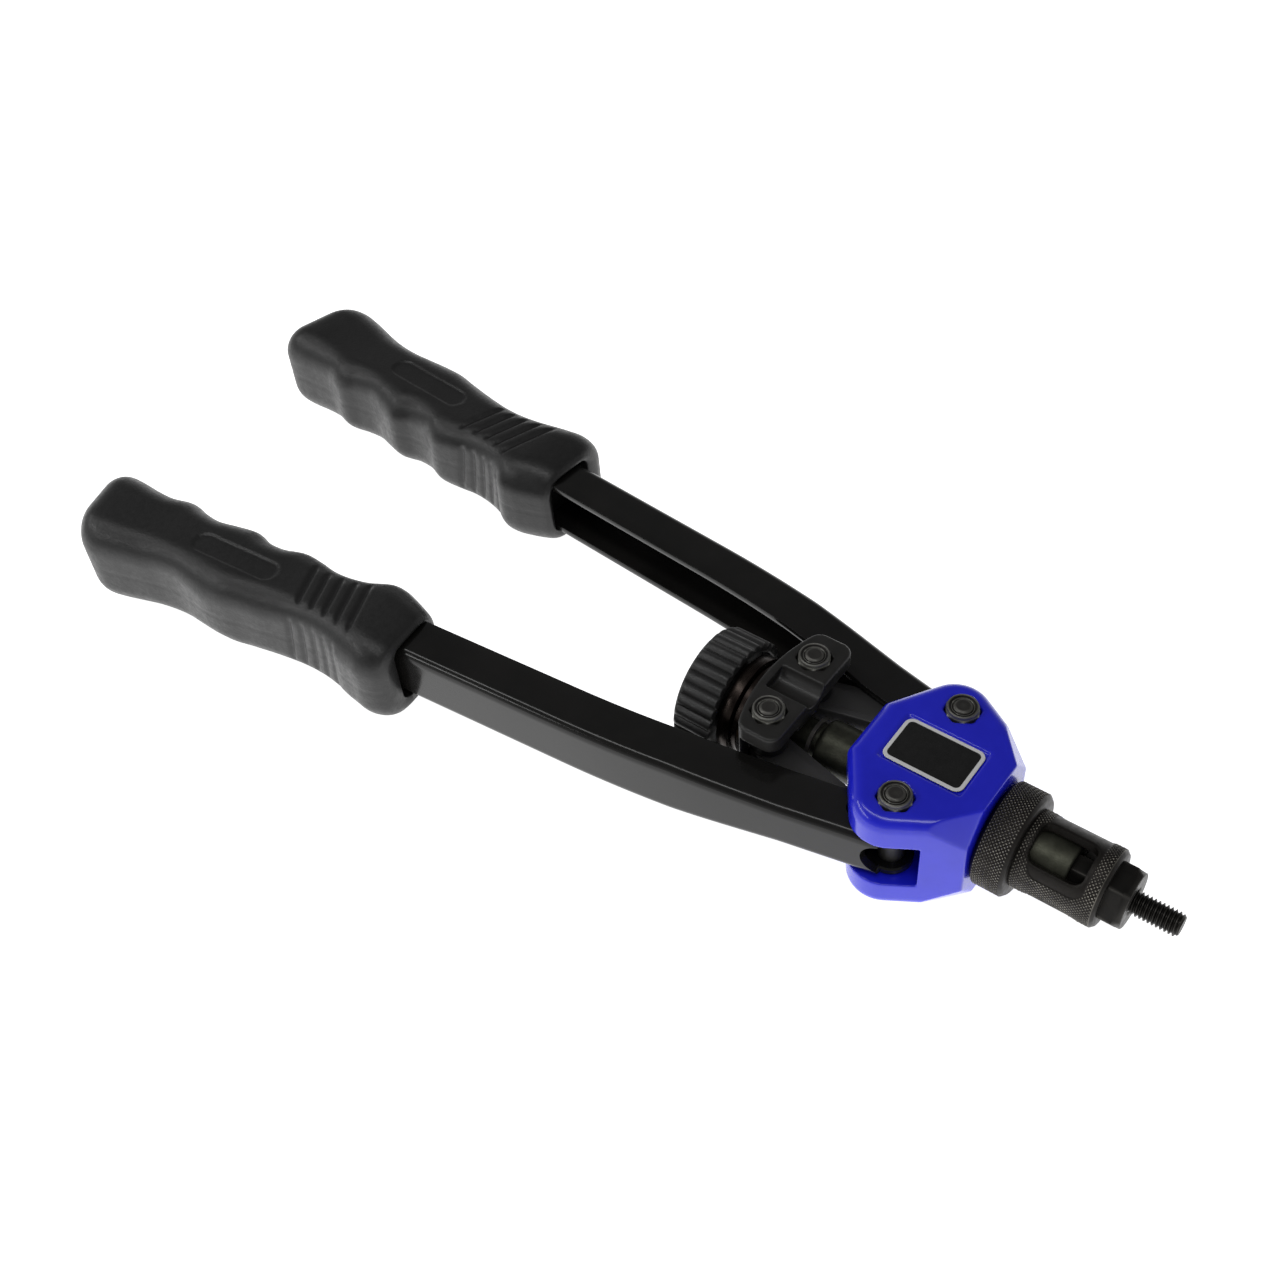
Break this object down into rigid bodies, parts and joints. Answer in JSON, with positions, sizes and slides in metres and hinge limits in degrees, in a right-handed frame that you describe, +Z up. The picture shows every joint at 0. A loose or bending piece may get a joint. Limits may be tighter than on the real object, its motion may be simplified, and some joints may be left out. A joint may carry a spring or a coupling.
{
  "type": "hand riveter",
  "caption": "Two-handed setting tool for threaded rivets: lever arms with moulded grips, linkage, screw-in nose and threaded mandrel.",
  "frame": {"origin": "centre of the anvil's front face, on the tool axis", "axes": "+X along the tool axis towards the work, +Y to the left arm, +Z up along the pivot bolts"},
  "size_m": [0.3204, 0.1223, 0.0368],
  "materials": {
    "blue_paint": "gloss",
    "black_paint": "satin",
    "label": "gloss",
    "black_zinc": "satin",
    "black_oxide": "satin",
    "dark_steel": "satin",
    "grey_steel": "satin",
    "polished_steel": "polished",
    "link_steel": "satin",
    "bronze": "satin",
    "black_plastic": "satin",
    "grip": "matte"
  },
  "bodies": {
    "head": {"head_body": "blue_paint", "head_label": "label", "head_bolts": "black_zinc", "head_nuts": "black_zinc", "head_bolt_washers": "black_zinc", "rod_guide_bush": "bronze"},
    "lock_ring": {"lock_ring": "black_oxide"},
    "nose": {"nose_sleeve": "black_oxide", "anvil": "dark_steel"},
    "yoke": {"yoke_bracket": "black_paint", "yoke_bolts": "black_zinc", "yoke_nuts": "black_zinc", "yoke_bolt_washers": "black_zinc", "yoke_bush": "bronze"},
    "spindle": {"pull_rod": "grey_steel", "mandrel_chuck": "grey_steel", "mandrel": "dark_steel", "control_knob": "black_plastic", "knob_washer": "grey_steel", "knob_screw": "black_zinc", "rod_circlip": "grey_steel", "thrust_washer": "grey_steel", "thrust_collar": "polished_steel"},
    "left_lever": {"left_arm": "black_paint", "left_grip": "grip", "left_arm_bush": "grey_steel", "left_link_pin": "grey_steel"},
    "right_lever": {"right_arm": "black_paint", "right_grip": "grip", "right_arm_bush": "grey_steel", "right_link_pin": "grey_steel"},
    "left_link": {"left_link": "link_steel"},
    "right_link": {"right_link": "link_steel"}
  },
  "joints": [
    {"name": "left_lever_pivot", "type": "hinge", "parent": "head", "child": "left_lever", "pos_m": [-0.054, 0.0156, 0], "axis": [0, 0, -1], "range_deg": [0, 45]},
    {"name": "right_lever_pivot", "type": "hinge", "parent": "head", "child": "right_lever", "pos_m": [-0.054, -0.0156, 0], "axis": [0, 0, 1], "range_deg": [0, 45]},
    {"name": "yoke_slide", "type": "slide", "parent": "head", "child": "yoke", "axis": [1, 0, 0], "range_m": [0, 0.00578]},
    {"name": "left_link_pivot", "type": "hinge", "parent": "yoke", "child": "left_link", "pos_m": [-0.0924, 0.0102, 0], "axis": [0, 0, 1], "range_deg": [0, 12.01]},
    {"name": "right_link_pivot", "type": "hinge", "parent": "yoke", "child": "right_link", "pos_m": [-0.0924, -0.0102, 0], "axis": [0, 0, -1], "range_deg": [0, 12.01]},
    {"name": "spindle_turn", "type": "hinge", "parent": "yoke", "child": "spindle", "pos_m": [-0.11, 0, 0], "axis": [1, 0, 0], "continuous": true},
    {"name": "nose_turn", "type": "hinge", "parent": "head", "child": "nose", "pos_m": [-0.03, 0, 0], "axis": [1, 0, 0], "continuous": true},
    {"name": "lock_ring_turn", "type": "hinge", "parent": "head", "child": "lock_ring", "pos_m": [-0.03, 0, 0], "axis": [1, 0, 0], "continuous": true}
  ],
  "couplings": [
    {"joint": "right_lever_pivot", "follows": "left_lever_pivot", "ratio": 1},
    {"joint": "yoke_slide", "follows": "left_lever_pivot", "m_per_rad": 0.007348},
    {"joint": "left_link_pivot", "follows": "left_lever_pivot", "ratio": 0.2658},
    {"joint": "right_link_pivot", "follows": "left_lever_pivot", "ratio": 0.2658}
  ]
}
